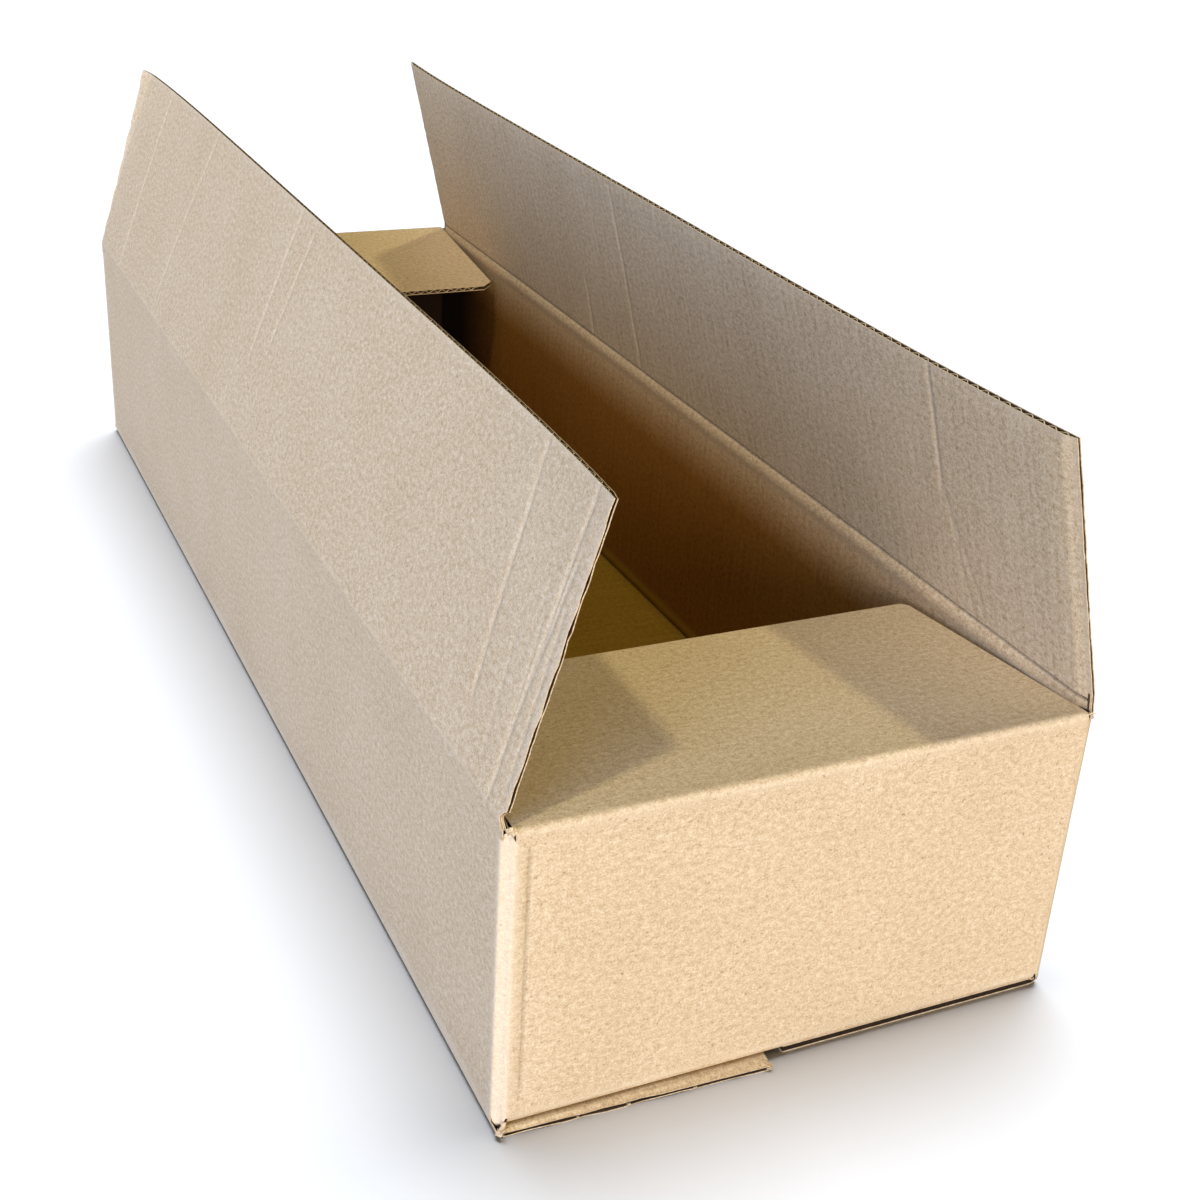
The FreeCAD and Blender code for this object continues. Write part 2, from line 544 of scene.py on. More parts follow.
    def place_end(self, far: bool, depth: float, x: float, way: float) -> Spot:
        """Places a point of an end wall's flaps.

        The upper fold is crisper outside than a round bend, and the flap's two free corners are
        cut, most at the far right.

        Args:
            far: Whether the wall is the far one.
            depth: Depth in the board from its outer face.
            x: Place across the carton, before the flap's edges are cut back.
            way: Distance from the lower flap's edge up the wall and along the upper flap.

        Returns:
            The point and its lay.
        """
        marks = self.end.marks()
        offset = self.plan.marks()[4] if far else 0.0
        inward, height = self.end.at(way, depth)
        turned = 2 * (way - marks[3]) / (marks[4] - marks[3]) - 1
        if depth < self.board.thickness / 2 and abs(turned) < 1:
            crisp = 0.7 * (1 - turned ** 2) ** 2
            inward, height = inward - crisp, height + crisp
        across = x
        if way > marks[3] + 0.01:
            share = min(1.0, (way - marks[4]) / (marks[5] - marks[4]))
            half = self.end_fold_half + (self.end_flap_half - self.end_fold_half) * share
            cut = self.far_tip_cut if far and x > 0 else self.tip_cut
            half -= cut * max(0.0, (way - marks[5]) / cut + 1) * (0.95 if far else 0.8)
            across = x * min(half, self.end_fold_half) / self.end_fold_half
        near_fold = min(abs(way - mark - 1) for mark in (marks[1], marks[2], marks[3] + 1))
        y = self.far_y - inward if far else self.near_y + inward
        rub = max(0.0, 0.7 - near_fold / 2.4)
        ways = x + self.half if far else self.half - self.fold - x
        return Vector((across, y, height)), Vector((offset + ways, way, rub))

    def place_side(self, side: Side, depth: float, y: float, way: float) -> Spot:
        """Places a point of a side wall or its bottom flap.

        The left flap's skewed ledge is pinched at its rim, a groove runs along the foot of the
        wall inside, and the wall swells under its crease. The groove, and the wall under its crease
        near the near end, are darkened with painted shade.

        Args:
            side: Side of the carton.
            depth: Depth in the board from its outer face.
            y: Place along the carton, before the ledge is skewed.
            way: Distance from the bottom flap's edge up the wall.

        Returns:
            The point and its lay.
        """
        section = self.sides[side]
        marks = section.marks()
        inner = depth > self.board.thickness / 2
        rim = 1 - ease((y - self.near_y + self.ledge_at_edge) / self.ledge_rim)
        pinched = self.ledge_pinch * rim if side is Side.LEFT and way < marks[2] else 0.0
        groove = self.groove * hump(way - marks[1] - 3.1, 1.7) if inner else 0.0
        inward, height = section.at(way, depth * (1 - pinched) - groove)
        if y < self.near_y:
            share = min(1.0, inward / self.left_depth)
            ledge = self.ledge_at_fold + (self.ledge_at_edge - self.ledge_at_fold) * share
            y = self.near_y - (self.near_y - y) * ledge / self.ledge_at_edge
            y += 0.35 * ripple(inward / 3, depth, 3)
        rub = max(0.0, 1 - min(abs(way - mark) for mark in marks[1:3]) / 4)
        # Inside, the groove along the wall's foot is darkened as painted shade.
        rub = -1.5 * groove if inner else rub
        top = height - self.hinge
        if inner and top > -18:
            reach = min(y - self.near_y, self.far_y - y) - self.fold
            inward += roll(top) * ease(reach / 6)
            # Painted shade under the crease, fading out away from the carton's near end.
            near = max(0.0, 1 - (y - self.near_y) / NEAR_SHADE_RUN)
            rub -= 1.2 * near * hump(top + 4, 4.5)
        worn = max(0.0, 1 - (y - self.near_y + self.ledge_at_edge) / 7)
        if way < marks[2] and worn:
            height += worn * max(0.0, 0.5 * ripple(inward / 2.5, y, 9))
        x = side.value * (self.half - inward)
        return Vector((x, y, height)), Vector((y, way, rub))

    def lay_skin(self, sheets: Sheets, depth: float) -> None:
        """Lays one liner of the whole body as open grids.

        Args:
            sheets: Mesh that takes the grids.
            depth: Depth of the liner's visible face in the board.
        """
        plan = self.plan.marks()
        columns = self.end_columns()
        sides = self.side_columns()
        near = [self.half - self.fold - x for x in columns]
        ways: list[float] = []
        for turn in (0, 1):
            ways += [plan[4 * turn] + value for value in near]
            ways += span(plan[4 * turn + 1], plan[4 * turn + 2], 1.05)
            ways += [plan[4 * turn + 2] + y - sides[0] for y in sides]
            ways += span(plan[4 * turn + 3], plan[4 * turn + 4], 1.05)
        sheets.grid(joined(ways), self.wall_rows(), partial(self.place_wall, depth))
        rows, marks = self.end.rows(14), self.end.marks()
        inner_columns = [x for x in columns if abs(x) <= self.inner_flap_half + 0.01]
        tips = [marks[5] - back for back in (7, 5, 3, 1)]
        for far in (False, True):
            place = partial(self.place_end, far, depth)
            sheets.grid(columns, joined([row for row in rows if row >= marks[3]], tips), place)
            sheets.grid(inner_columns, [row for row in rows if row <= marks[2]], place)
        for side in Side:
            self.lay_side(sheets, side, depth)

    def lay_side(self, sheets: Sheets, side: Side, depth: float) -> None:
        """Lays one side wall's bottom flap and the wall's edges above and below the ends.

        Args:
            sheets: Mesh that takes the grids.
            side: Side of the carton.
            depth: Depth of the liner's visible face in the board.
        """
        section = self.sides[side]
        marks, sides = section.marks(), self.side_columns()
        place = partial(self.place_side, side, depth)
        front = self.near_y + (self.right_inset if side is Side.RIGHT else -self.ledge_at_edge)
        ends = span(front, sides[0], 1.2)
        tails = [self.far_y - self.bottom_trim, self.far_y - self.slot_trim]
        rows = [row for row in section.rows(8) if row <= marks[2] + 0.01]
        sheets.grid(joined(ends, sides, tails), rows, place)
        lift = marks[2] - self.fold
        sheets.grid(sides, [marks[2], lift + self.end_bottom], place)
        trims = [self.near_y + self.slot_trim, self.far_y - self.slot_trim]
        sheets.grid(joined(sides, trims),
                    span(lift + self.end_top, lift + self.side_top, 1.1), place)

    def lay_flutes(self, sheets: Sheets) -> None:
        """Lays the fluted medium of the flaps and of the upright corners.

        Args:
            sheets: Mesh that takes the grids.
        """
        marks, inset, recess = self.end.marks(), 1.6, 0.3
        for far in (False, True):
            rule = partial(self.place_end, far)
            edge = self.end_flap_half - inset
            sheets.flutes((-edge, edge), (marks[4], marks[5] - 4, marks[5] - recess), rule)
            edge = self.inner_flap_half - inset
            sheets.flutes((-edge, edge), (recess, marks[1]), rule)
        for side, front in ((Side.LEFT, 0.5), (Side.RIGHT, 4.5)):
            sheets.flutes((self.near_y + front, self.far_y - 3),
                          (recess, 60, self.sides[side].marks()[1]),
                          partial(self.place_side, side))
        for way in self.plan.marks()[1:8:2]:
            sheets.flutes((way - 6, way + 12), (self.end_bottom, self.end_top - 0.4),
                          self.place_wall)

    def lay_tab(self, sheets: Sheets) -> None:
        """Lays the glued tab of the tube's joint behind the near wall.

        Args:
            sheets: Mesh that takes it.
        """
        size = Vector((self.tab_width, self.tab_board,
                       self.end_top - self.end_bottom - 2 * self.tab_trim))
        corner = Vector((-self.half + self.fold, self.near_y + self.board.thickness,
                         self.end_bottom + self.tab_trim))
        tab = bmesh.ops.create_cube(sheets.mesh, size=1.0)["verts"]
        bmesh.ops.scale(sheets.mesh, vec=size, verts=tab)
        bmesh.ops.translate(sheets.mesh, vec=corner + size / 2, verts=tab)
        edges = list(dict.fromkeys(edge for vert in tab for edge in vert.link_edges))
        bmesh.ops.bevel(sheets.mesh, geom=edges, offset=0.4, offset_type="OFFSET", segments=2,
                        profile=0.5, affect="EDGES", material=-1)
        for face in sheets.mesh.faces:
            if not face[sheets.done]:
                face[sheets.done], face.material_index = 1, Face.INSIDE.value
                for vert in face.verts:
                    vert[sheets.lay] = Vector((vert.co.x, vert.co.z, 0.2))

    def build(self, papers: Sequence[bpy.types.Material]) -> bpy.types.Object:
        """Builds the carton's body.

        Args:
            papers: Materials in the order of Face.

        Returns:
            The finished piece.
        """
        sheets = Sheets(self.board)
        middle = Vector((0, self.near_y + self.length / 2, 66))

        def away(point: Vector) -> Vector:
            """Returns the direction out of the carton."""
            return point - middle

        sheets.skins(partial(self.lay_skin, sheets), away)
        self.lay_flutes(sheets)
        for scrap in self.scraps:
            scrap.lay(sheets)
        self.lay_tab(sheets)
        piece = sheets.finish("carton_board", papers)
        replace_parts(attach(piece, "carton"), "carton")
        return piece


@dataclass(frozen=True)
class Score:
    """One faint fold that runs down a flap along its flutes."""

    top: float
    foot: float
    low: float = 0.0
    high: float = FLAP_DEPTH
    sink: float = 0.35

    def dent(self, along: float, up: float) -> float:
        """Finds how far the fold sinks at a place.

        Args:
            along: Place along the carton.
            up: Height on the flap.

        Returns:
            The depth in millimetres.
        """
        middle = self.foot + (self.top - self.foot) * up / FLAP_DEPTH
        middle += 0.5 * ripple(up / 14, self.top)
        fade = ease((up - self.low) / 12 + 0.5) * ease((self.high - up) / 12 + 0.5)
        return self.sink * fade * hump(along - middle, 1.5)


@dataclass
class LongFlap:
    """One long top flap, with the crease that carries it on its wall.

    The leans are from upright at the near and the far end, and bow is how far the upper edge
    bulges inward between them. crush is the slope by which the far end's strip, crush_run wide
    at the top, is pressed outward. edge_board is the board's thickness at its cut ends, loose is
    how far the liners wander there, first_flute is the medium's inset at the near end, and reach
    the crease's half height. The slot beside the near end cuts in by notch at the hinge line,
    and its mark is slot_rise high and slot_run long.
    """

    side: Side
    body: str
    near_lean_deg: float
    far_lean_deg: float
    bow: float
    scores: tuple[Score, ...]
    crush: float = 0.0
    edge_board: float = 1.6
    loose: float = 0.35
    first_flute: float = 5.0
    notch: float = 3.0
    slot_rise: float = 3.6
    slot_run: float = 6.0
    crush_run: float = 13.0
    board: Board = field(default_factory=Board)
    half: float = 120.0
    hinge: float = HINGE
    depth: float = FLAP_DEPTH
    start: float = -358.25
    end: float = 362.75
    reach: float = 4.0

    def stand(self, depth: float, along: float, up: float) -> Vector:
        """Finds a point of the flap or its crease.

        Args:
            depth: Depth in the board from its outer face.
            along: Place along the carton.
            up: Distance from the hinge line up the flap, negative on the wall.

        Returns:
            The point.
        """
        share = (along - self.start) / (self.end - self.start)
        lean_deg = self.near_lean_deg + (self.far_lean_deg - self.near_lean_deg) * share
        lean = math.radians(lean_deg) * ease((up + 2.5) / 5)
        bow = self.bow * (1 - (2 * share - 1) ** 6)
        depth += bow * (max(up, 0.0) / self.depth) ** 1.5
        slot = max(0.0, 1 - (up / self.slot_rise) ** 2)
        slot *= max(0.0, 1 - (along - self.start) / self.slot_run)
        along += self.notch * slot
        strip = along - self.end + self.crush_run * (max(up, 0.0) / self.depth) ** 1.6
        depth -= self.crush * max(0.0, strip)
        inward = depth * math.cos(lean) + up * math.sin(lean)
        height = up * math.cos(lean) - depth * math.sin(lean)
        return Vector((self.side.value * (self.half - inward), along, self.hinge + height))

    def pinch(self, along: float, up: float) -> float:
        """Finds how far the board is pinched, most near its cut edges.

        Args:
            along: Place along the carton.
            up: Distance from the hinge line up the flap.

        Returns:
            The share of its thickness that the board keeps.
        """
        edge = min(along - self.start, self.end - along)
        lost = (self.board.thickness - self.edge_board) * (1 - ease(edge / 9))
        return 1 - max(lost, 0.5 * (1 - ease((self.depth - up) / 7))) / self.board.thickness

    def place_liner(self, depth: float, along: float, up: float) -> Spot:
        """Places a point of a liner of the flap or its crease.

        Args:
            depth: Depth in the board from its outer face.
            along: Place along the carton.
            up: Distance from the hinge line up the flap, negative on the wall.

        Returns:
            The point and its lay.
        """
        inner = depth > self.board.thickness / 2
        edge = min(along - self.start, self.end - along)
        loose = self.loose * ripple(up / 9, depth * 3, self.side.value)
        loose += 0.20 * ripple(up / 2.4, depth * 5)
        loose *= max(0.0, 1 - edge / 6) * ease(up / 12) * ease((self.depth - up) / 8)
        dent = max(score.dent(along, up) for score in self.scores)
        swell = roll(up) * ease((edge - 1.5) / 6) if inner else 0.0
        at = depth * self.pinch(along, up) + loose + (-dent if inner else dent) + swell
        crease_rub = 0.0 if inner else 0.5 - abs(up) / 3
        rub = max(0.0, crease_rub, 0.8 * (1 - (self.depth - up) / 2.5),
                  1.0 * (1 - edge / 3.6), 1.3 * dent)
        # Painted shade inside: a dark line along the crease's valley, and a dark band under the
        # crease that fades out away from the near end.
        if inner:
            near = max(0.0, 1 - (along - self.start) / NEAR_SHADE_RUN)
            rub -= 1.2 * (hump(up - 0.2, 0.8) + near * hump(up + 3.6, 3.2))
        return self.stand(at, along, up), Vector((along, self.hinge + up, rub))

    def place_medium(self, depth: float, along: float, up: float) -> Spot:
        """Returns a point of the fluted medium, pinched as the board is, and its lay."""
        pinched = depth * self.pinch(along, up)
        return self.stand(pinched, along, up), Vector((along, up, 0))

    def place_crushed(self, along: float, up: float) -> Spot:
        """Returns a point on the outer side of the crease's crushed medium, and its lay."""
        depth = 0.75 if self.start + 1 < along < self.end - 1 else 0.7
        return self.stand(depth, along, up), Vector((along, self.hinge + up, 0))

    def columns(self) -> list[float]:
        """Lists the places along the flap, closer at its ends and at its scores.

        Returns:
            The places in order.
        """
        marks = [span(min(score.top, score.foot) - 4, max(score.top, score.foot) + 4, 0.8)
                 for score in self.scores]
        places = joined(span(self.start, self.start + 8, 0.8), span(self.end - 14, self.end, 1),
                        span(self.start + 8, self.end - 14, 12), *marks)
        return [place for place in places if self.start <= place <= self.end]

    def outward(self, point: Vector) -> Vector:
        """Returns the direction out of the flap's outer side, the same at every point."""
        return Vector((self.side.value, 0, 0))

    def lay_skins(self, rows: Sequence[float]) -> Sheets:
        """Lays both liners of a stretch of the flap.

        Args:
            rows: Distances up the flap.

        Returns:
            The mesh with its liners.
        """
        sheets = Sheets(self.board)
        sheets.skins(lambda depth: sheets.grid(self.columns(), rows,
                                               partial(self.place_liner, depth)), self.outward)
        return sheets

    def build_flap(self, papers: Sequence[bpy.types.Material]) -> bpy.types.Object:
        """Builds the flap above its crease.

        Args:
            papers: Materials in the order of Face.

        Returns:
            The finished piece.
        """
        sheets = self.lay_skins(joined(span(self.reach, self.depth - 1.2, 3), [self.depth]))
        tip = self.depth - 7
        rows = joined(span(self.reach, tip, 24), span(tip, self.depth - 0.25, 2.3))
        sheets.flutes((self.start + self.first_flute, self.end - 5), rows, self.place_medium)
        piece = sheets.finish(f"{self.body}_board", papers)
        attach(piece, self.body)
        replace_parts(piece, f"{self.side.name.lower()}_long_flap")
        return piece

    def build_crease(self, papers: Sequence[bpy.types.Material]) -> bpy.types.Object:
        """Builds the crushed crease that bends between the wall and the flap.

        Args:
            papers: Materials in the order of Face.

        Returns:
            The finished piece.
        """
        sheets = self.lay_skins(span(-self.reach, self.reach, 0.4))
        sheets.grid([self.start + 0.8, self.start + 3, self.end - 3, self.end - 0.8],
                    span(-self.reach, self.reach, 1), self.place_crushed)
        sheets.close(0.9, Face.CUT, self.outward)
        piece = sheets.finish(f"{self.body}_crease", papers)
        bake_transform(piece)
        return piece


class Value:
    """A number in a material's nodes, worked with as in a sum."""

    def __init__(self, nodes: Nodes, socket: bpy.types.NodeSocket) -> None:
        """Wraps a socket of a node tree."""
        self.nodes = nodes
        self.socket = socket

    def __add__(self, other: Value | float) -> Value:
        """Returns this plus the other."""
        return self.nodes.math("ADD", self, other)

    def __radd__(self, other: float) -> Value:
        """Returns the other plus this."""
        return self.nodes.math("ADD", other, self)

    def __sub__(self, other: Value | float) -> Value:
        """Returns this less the other."""
        return self.nodes.math("SUBTRACT", self, other)

    def __rsub__(self, other: float) -> Value:
        """Returns the other less this."""
        return self.nodes.math("SUBTRACT", other, self)

    def __mul__(self, other: Value | float) -> Value:
        """Returns this times the other."""
        return self.nodes.math("MULTIPLY", self, other)


class Nodes:
    """Node tree of one material."""

    def __init__(self, name: str) -> None:
        """Starts a material with a Principled shader.

        Args:
            name: Name of the material.
        """
        self.material = bpy.data.materials.new(name)
        self.material.use_nodes = True
        self.tree = self.material.node_tree
        self.shader = self.tree.nodes["Principled BSDF"]

    def add(self, kind: str, settings: dict | None = None, **inputs: object) -> bpy.types.Node:
        """Adds a node.

        Args:
            kind: Type of the node.
            settings: Properties, set first.
            inputs: Sockets by name, with spaces as underscores, or by index as _0, _1.

        Returns:
            The node.
        """
        node = self.tree.nodes.new(kind)
        for key, value in (settings or {}).items():
            setattr(node, key, value)
        for key, value in inputs.items():
            slot = int(key[1:]) if key[0] == "_" and key[1:].isdigit() else key.replace("_", " ")
            self.feed(node.inputs[slot], value)
        return node

    def feed(self, socket: bpy.types.NodeSocket, value: object) -> None:
        """Links or sets one input socket.

        Args:
            socket: The input.
            value: A Value, an output socket or a constant.
        """
        if isinstance(value, Value):
            value = value.socket
        if isinstance(value, bpy.types.NodeSocket):
            self.tree.links.new(value, socket)
        else:
            socket.default_value = value

    def math(self, operation: str, *values: Value | float) -> Value:
        """Adds a Math node.

        Args:
            operation: Its operation.
            values: Its inputs in order.

        Returns:
            The result.
        """
        inputs = {f"_{index}": value for index, value in enumerate(values)}
        node = self.add("ShaderNodeMath", {"operation": operation}, **inputs)
        return Value(self, node.outputs[0])

    def noise(self, vector: object, scale: float, detail: float = 2.0,
              roughness: float = 0.5) -> Value:
        """Adds a noise texture.

        Args:
            vector: Coordinates.
            scale: Features per metre.
            detail: Octaves.
            roughness: Strength of the finer octaves.

        Returns:
            Its value from 0 to 1.
        """
        node = self.add("ShaderNodeTexNoise", Vector=vector, Scale=scale, Detail=detail,
                        Roughness=roughness)
        return Value(self, node.outputs[0])

    def ramp(self, value: Value, low: float, high: float) -> Value:
        """Returns the value spread so that low gives 0 and high gives 1, held between them."""
        node = self.add("ShaderNodeMapRange", {"clamp": True}, Value=value, From_Min=low,
                        From_Max=high)
        return Value(self, node.outputs[0])

    def mix(self, factor: Value | float, first: object, second: object,
            blend: str = "MIX") -> bpy.types.NodeSocket:
        """Mixes two colours.

        Args:
            factor: Share of the second.
            first: First colour or socket.
            second: Second colour or socket.
            blend: How the second is laid over the first.

        Returns:
            The mixed colour's socket.
        """
        node = self.add("ShaderNodeMix", {"data_type": "RGBA", "blend_type": blend}, _0=factor,
                        _6=first, _7=second)
        return node.outputs[2]

    def coat(self, colour: bpy.types.NodeSocket, roughness: Value, relief: Value,
             strength: float) -> bpy.types.Material:
        """Feeds the shader.

        Args:
            colour: Colour of the paper.
            roughness: Its roughness.
            relief: Height of its relief, from 0 to about 1.
            strength: Strength of the relief.

        Returns:
            The finished material.
        """
        bump = self.add("ShaderNodeBump", Height=relief, Strength=strength, Distance=0.0004)
        inputs = self.shader.inputs
        self.feed(inputs["Base Color"], colour)
        self.feed(inputs["Roughness"], roughness)
        self.feed(inputs["Normal"], bump.outputs[0])
        return self.material


def linear(step: float) -> float:
    """Returns the linear value of an sRGB channel in steps of 0 to 255."""
    value = step / 255
    return value / 12.92 if value <= 0.04045 else ((value + 0.055) / 1.055) ** 2.4


def srgb(colour: Triple) -> tuple[float, float, float, float]:
    """Returns the linear colour, with its alpha, of an sRGB one in steps of 0 to 255."""
    return (*map(linear, colour), 1.0)


@dataclass(frozen=True)
class Kraft:
    """Finish of a sheet of kraft paper on the board.

    Colours are sRGB steps. Inside the carton the paper is darkened with painted shade: by deep,
    its walls also by walls and its far end also by shut, each a factor on the colour.
    """

    name: str
    ground: Triple
    dark: Triple
    pale: Triple
    speck: Triple
    streaks: float = 0.0
    flutes: float = 0.0
    deep: Triple = (1.0, 1.0, 1.0)
    walls: Triple = (1.0, 1.0, 1.0)
    far_end_shade: Triple = (1.0, 1.0, 1.0)
    # Dark colour where the wear is negative: a pressed mark, and painted shade in the creases and
    # grooves.
    pressed: Triple = (84, 62, 40)
    roughness: float = 0.86

    def make(self) -> bpy.types.Material:
        """Builds the material.

        Returns:
            The material.
        """
        nodes = Nodes(self.name)
        spot = nodes.add("ShaderNodeTexCoord").outputs["Object"]
        lay = nodes.add("ShaderNodeAttribute", {"attribute_name": "lay"}).outputs["Vector"]
        parts = nodes.add("ShaderNodeSeparateXYZ", Vector=lay)
        across, wear = Value(nodes, parts.outputs[0]), Value(nodes, parts.outputs[2])
        drawn = nodes.add("ShaderNodeMapping", Vector=lay, Scale=(1.0, 0.045, 0.0))
        felt = nodes.add("ShaderNodeMapping", Vector=lay, Scale=(0.8, 1.0, 0.0))
        streak = nodes.noise(drawn.outputs[0], 520, 3, 0.6)
        cloud = nodes.noise(spot, 22, 3, 0.6)
        mottle = nodes.noise(felt.outputs[0], 430, 4, 0.78)
        fibre = nodes.noise(spot, 1300, 2, 0.7)
        flute = nodes.math("SINE", across * (2 * math.pi / (Board.pitch * MM)))
        shade = (mottle - 0.5) * 2.8 + (fibre - 0.5) * 2.3 + (cloud - 0.5) * 0.4
        shade = shade + (streak - 0.5) * (self.streaks * 4) + flute * (self.flutes * 0.5)
        colour = nodes.mix(nodes.ramp(shade, -0.05, 0.75), srgb(self.ground), srgb(self.dark))
        colour = nodes.mix(nodes.ramp(shade * -1, 0.05, 0.8), colour, srgb(self.pale))
        specks = nodes.ramp(nodes.noise(spot, 700, 1, 0.4), 0.70, 0.78)
        colour = nodes.mix(specks * 0.55, colour, srgb(self.speck))
        rub = nodes.ramp(wear * (0.55 + mottle * 0.9), 0.1, 1.1)
        colour = nodes.mix(rub * 0.5, colour, srgb(self.pale))
        # Negative wear mixes in the pressed colour: painted shade in the crease valleys, the inner
        # foot groove and under the crease near the near end, and a pressed mark at the tab's edge.
        pressed = nodes.ramp(wear * -1, 0.1, 1.1)
        colour = nodes.mix(pressed * 0.5, colour, srgb(self.pressed))
        colour = self.paint_inside_shade(nodes, spot, colour)
        nodes.feed(nodes.shader.inputs["Specular IOR Level"], 0.25)
        relief = mottle * 0.3 + fibre * 0.2 + streak * (self.streaks * 1.2) + flute * self.flutes
        return nodes.coat(colour, self.roughness + (mottle - 0.5) * 0.12, relief, 0.11)

    def paint_inside_shade(self, nodes: Nodes, spot: bpy.types.NodeSocket,
               colour: bpy.types.NodeSocket) -> bpy.types.NodeSocket:
        """Paints shade into the paper inside the carton, from the creases down and behind the near
        wall.

        Args:
            nodes: The material's nodes.
            spot: Place in the carton's frame.
            colour: Colour of the paper.

        Returns:
            The darkened colour.
        """
        place = nodes.add("ShaderNodeSeparateXYZ", Vector=spot).outputs
        along, height = Value(nodes, place[1]), Value(nodes, place[2])
        mouth, near_wall = (-0.133, -0.096), (-0.360, -0.358)
        foot, far_end = (0.007, 0.012), (0.24, 0.32)
        # Painted shade: below the creases and behind the near wall, more on the walls above the
        # floor, most at the far end.
        sunk = nodes.ramp(height * -1, *mouth) * nodes.ramp(along, *near_wall)
        raised = sunk * nodes.ramp(height, *foot)
        far_end_shade = sunk * nodes.ramp(along, *far_end)
        for share, factor in ((sunk, self.deep), (raised, self.walls), (far_end_shade, self.far_end_shade)):
            colour = nodes.mix(share, colour, (*factor, 1.0), "MULTIPLY")
        return colour


@dataclass(frozen=True)
class CutPaper:
    """Finish of the board's cut edges and of the fluted medium."""

    name: str = "cut_paper"
    ground: Triple = (226, 204, 168)
    dark: Triple = (178, 148, 108)

    def make(self) -> bpy.types.Material:
        """Builds the material.

        Returns:
            The material.
        """
        nodes = Nodes(self.name)
        spot = nodes.add("ShaderNodeTexCoord").outputs["Object"]
        fray = nodes.noise(spot, 900, 3, 0.6)
        colour = nodes.mix(nodes.ramp(fray, 0.35, 0.7), srgb(self.ground), srgb(self.dark))
        return nodes.coat(colour, 0.9 - fray * 0.1, fray, 0.5)


@dataclass(frozen=True)
class Lamp:
    """One far lamp, which lights all but the floor, or the floor alone.

    Its level is the brightness of a white face that it meets squarely.
    """

    name: str
    travel: Triple
    level: float
    softness_deg: float
    tint: Triple
    floor: str = "EXCLUDE"

    def hang(self) -> None:
        """Hangs the lamp."""
        data = bpy.data.lights.new(self.name, "SUN")
        data.energy, data.color = self.level * math.pi, self.tint
        data.angle = math.radians(self.softness_deg)
        lamp = add_object(self.name, data)
        lamp.rotation_euler = Vector(self.travel).to_track_quat("-Z", "Y").to_euler()
        reach = bpy.data.collections.new(f"{self.name}_reach")
        reach.objects.link(bpy.data.objects["floor"])
        reach.collection_objects[0].light_linking.link_state = self.floor
        lamp.light_linking.receiver_collection = reach


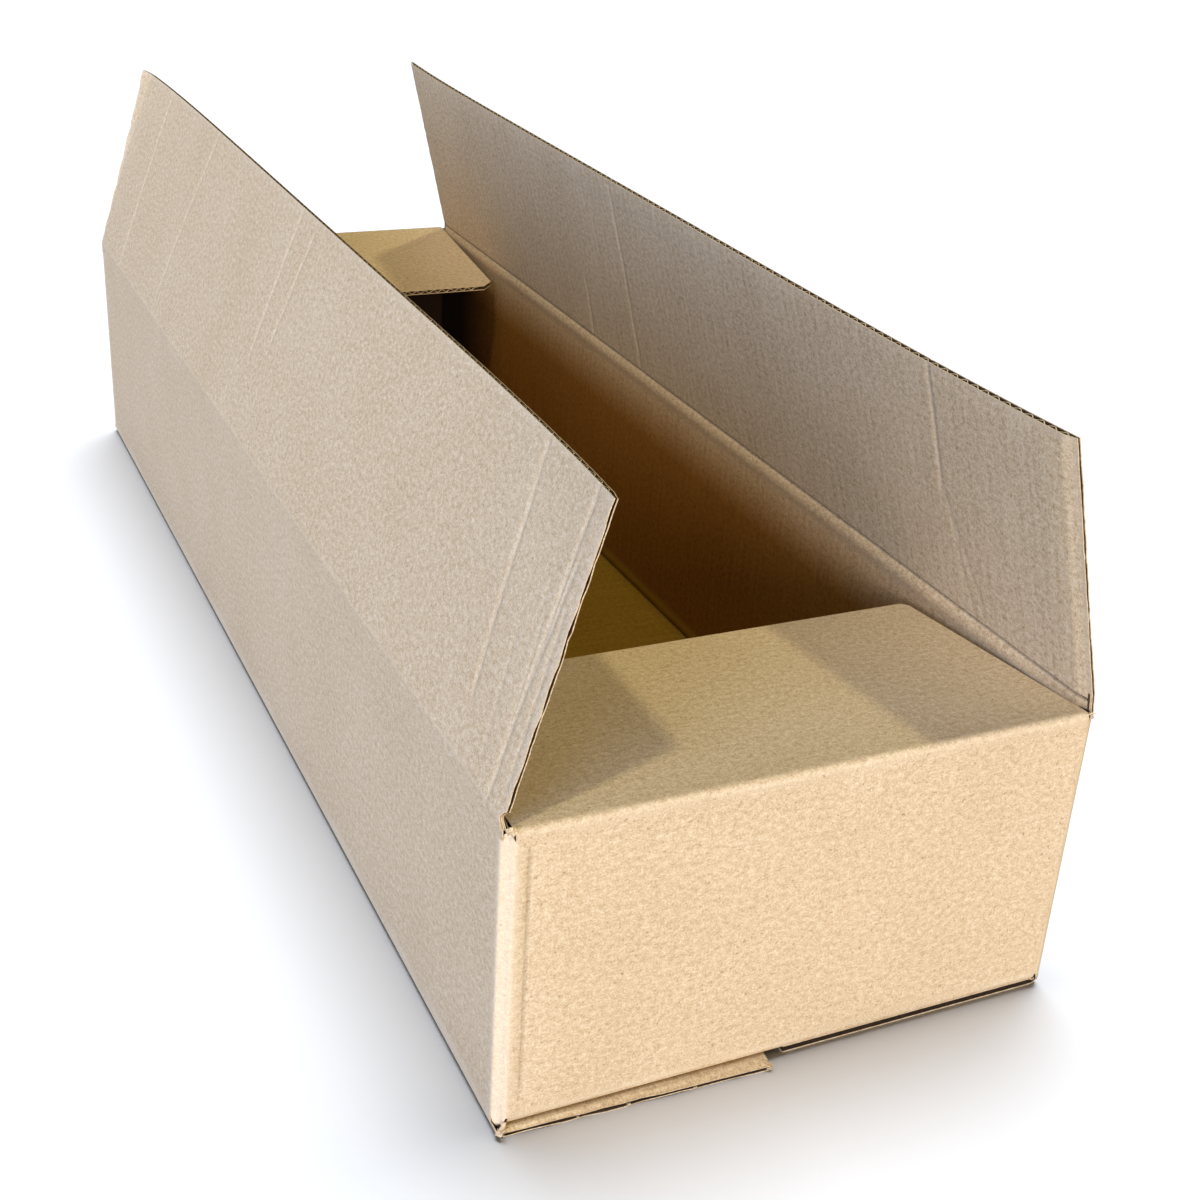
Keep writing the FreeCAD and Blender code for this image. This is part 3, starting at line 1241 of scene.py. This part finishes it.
@dataclass
class Studio:
    """Floor, lights and camera."""

    eye: Triple = (-300.48, -792.38, 447.78)
    aim: Triple = (40.18, -89.83, 60.0)
    roll_deg: float = 3.52
    lens: float = 52.06
    ambient: float = 0.02
    lamps: tuple[Lamp, ...] = (
        Lamp("front_lamp", (0.24, 0.955, -0.17), 0.97, 26, (1.0, 0.86, 0.63)),
        Lamp("side_lamp", (0.80, 0.52, -0.30), 1.04, 40, (0.40, 0.57, 1.0)),
        Lamp("left_lamp", (0.353, 0.243, -0.903), 0.27, 3.5, (1.0, 0.91, 0.54)),
        Lamp("right_lamp", (-0.30, -0.36, -0.88), 0.23, 3.5, (1.0, 0.94, 0.56)),
        Lamp("back_lamp", (-0.75, -0.66, 0.03), 0.34, 30, (1.0, 0.97, 0.90)),
        Lamp("floor_lamp", (-0.15, -0.26, -0.95), 1.24, 50, (1.0, 1.0, 1.0), "INCLUDE"),
    )

    def lay_floor(self) -> None:
        """Lays the pale floor, which takes the shadows."""
        mesh = bmesh.new()
        bmesh.ops.create_grid(mesh, x_segments=2, y_segments=2, size=30.0)
        data = bpy.data.meshes.new("floor")
        mesh.to_mesh(data)
        mesh.free()
        nodes = Nodes("floor")
        path = nodes.add("ShaderNodeLightPath").outputs
        seen = nodes.math("MINIMUM", Value(nodes, path["Is Camera Ray"])
                          + Value(nodes, path["Is Glossy Ray"])
                          + Value(nodes, path["Is Transmission Ray"]), 1.0)
        near, bounced = (0.905, 0.94, 0.995, 1), (0.32, 0.32, 0.32, 1)
        nodes.feed(nodes.shader.inputs["Base Color"], nodes.mix(seen, bounced, near))
        nodes.feed(nodes.shader.inputs["Roughness"], 0.9)
        nodes.feed(nodes.shader.inputs["Specular IOR Level"], 0.0)
        data.materials.append(nodes.material)
        add_object("floor", data)

    def light(self) -> None:
        """Hangs the lamps and sets the surroundings' own light."""
        for lamp in self.lamps:
            lamp.hang()
        world = bpy.data.worlds.new("room")
        world.use_nodes = True
        bpy.context.scene.world = world
        tree = world.node_tree
        path = tree.nodes.new("ShaderNodeLightPath")
        back = tree.nodes["Background"]
        back.inputs["Color"].default_value = (1.0, 1.0, 1.0, 1)
        reach = tree.nodes.new("ShaderNodeMapRange")
        reach.inputs["To Min"].default_value = self.ambient
        reach.inputs["To Max"].default_value = 1.0
        tree.links.new(path.outputs["Is Camera Ray"], reach.inputs["Value"])
        tree.links.new(reach.outputs[0], back.inputs["Strength"])

    def set_camera(self) -> None:
        """Sets the camera at the photograph's place and angle."""
        data = bpy.data.cameras.new("camera")
        data.sensor_width, data.lens = 36.0, self.lens
        data.clip_start, data.clip_end = 0.05, 50.0
        ahead = (Vector(self.aim) - Vector(self.eye)).normalized()
        level = ahead.cross(Vector((0, 0, 1))).normalized()
        tilt = math.radians(self.roll_deg)
        right = level * math.cos(tilt) + level.cross(ahead) * math.sin(tilt)
        turned = Matrix((right, right.cross(ahead), -ahead)).transposed().to_4x4()
        camera = add_object("camera", data)
        camera.matrix_world = Matrix.Translation(Vector(self.eye) * MM) @ turned
        bpy.context.scene.camera = camera

    def build(self) -> None:
        """Builds the whole studio."""
        bpy.context.scene.view_settings.view_transform = "Standard"
        self.set_camera()
        self.lay_floor()
        self.light()


def main() -> None:
    """Builds every piece in order."""
    logging.basicConfig(level=logging.INFO, format="%(name)s: %(message)s")
    Studio().build()
    papers = [
        Kraft("kraft_outside", ground=(213, 189, 154), dark=(182, 154, 118),
              pale=(234, 216, 188), speck=(142, 110, 76)).make(),
        # The inside paper carries painted shade: darker below the creases, more on the walls and
        # most at the far end.
        Kraft("kraft_inside", ground=(203, 178, 140), dark=(160, 133, 98), pale=(222, 202, 170),
              speck=(128, 98, 66), streaks=0.22, flutes=0.10, deep=(0.56, 0.42, 0.07),
              walls=(0.70, 0.50, 0.50), far_end_shade=(0.05, 0.03, 0.03)).make(),
        CutPaper().make(),
        # The medium is its own brown, darkened further as painted shade in the gap between the
        # liners.
        CutPaper("flute_paper_with_shade", (92, 68, 42), (58, 40, 24)).make(),
    ]
    pieces = [CartonBody().build(papers)]
    left_scores = (Score(296, 302), Score(180, 205, 10), Score(8, 17, 35), Score(-18, -2, 45, 108),
                   Score(-301, -314, 20), Score(-346.5, -343.7), Score(-352, -341, 35, 90),
                   Score(-351, -354, 10, 74, 0.22), Score(-336, -345, 8, 66, 0.18),
                   Score(-318, -333, 10, 62, 0.15), Score(-339, -331, 44, 82, 0.12))
    right_scores = (Score(26, 34), Score(-271.5, -270, 55), Score(84, 98, 0, 40),
                    Score(-249, -295, 5, 58, 0.25), Score(-260, -285, 5, 52, 0.2))
    flaps = (LongFlap(Side.LEFT, "left_flap", near_lean_deg=16.6, far_lean_deg=18.0, bow=5.6,
                      scores=left_scores, crush=0.16),
             LongFlap(Side.RIGHT, "right_flap", near_lean_deg=16.0, far_lean_deg=13.2, bow=3.0,
                      scores=right_scores, edge_board=1.4, loose=0.12, first_flute=0.9,
                      notch=0.6))
    for flap in flaps:
        pieces += [flap.build_flap(papers), flap.build_crease(papers)]
    for piece in pieces:
        LOG.info("%s is in place", piece.name)


if __name__ == "__main__":
    main()
